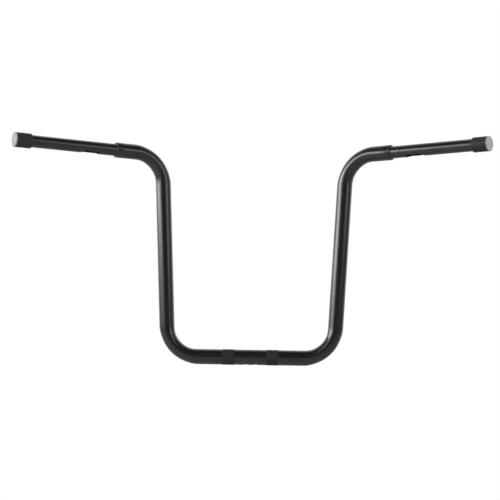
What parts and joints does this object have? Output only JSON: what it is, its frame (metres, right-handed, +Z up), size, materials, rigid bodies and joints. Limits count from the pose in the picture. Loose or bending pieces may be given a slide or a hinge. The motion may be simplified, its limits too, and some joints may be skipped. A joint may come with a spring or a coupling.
{
  "type": "ape hanger handlebar",
  "caption": "High-rise motorbike handlebar: a hollow black bent steel main tube with knurled clamp bands and wiring holes, stepped-down slotted grip tubes, and end sleeves with pale plugs.",
  "frame": {"origin": "centre of the base tube, midway between the two riser clamp bands", "axes": "+X along the base towards the rider's right hand, +Z up the uprights; the rider sits on the -Y side, so the grips sweep back towards -Y"},
  "size_m": [0.9734, 0.1965, 0.4583],
  "materials": {
    "black_coat": "satin",
    "weld_coat": "satin",
    "black_sleeve": "satin",
    "pale_plug": "matte"
  },
  "bodies": {
    "root": {"main_tube": "black_coat", "left_grip_tube": "black_coat", "right_grip_tube": "black_coat", "left_weld_bead": "weld_coat", "right_weld_bead": "weld_coat", "left_end_sleeve": "black_sleeve", "right_end_sleeve": "black_sleeve", "left_end_plug": "pale_plug", "right_end_plug": "pale_plug"}
  },
  "joints": []
}
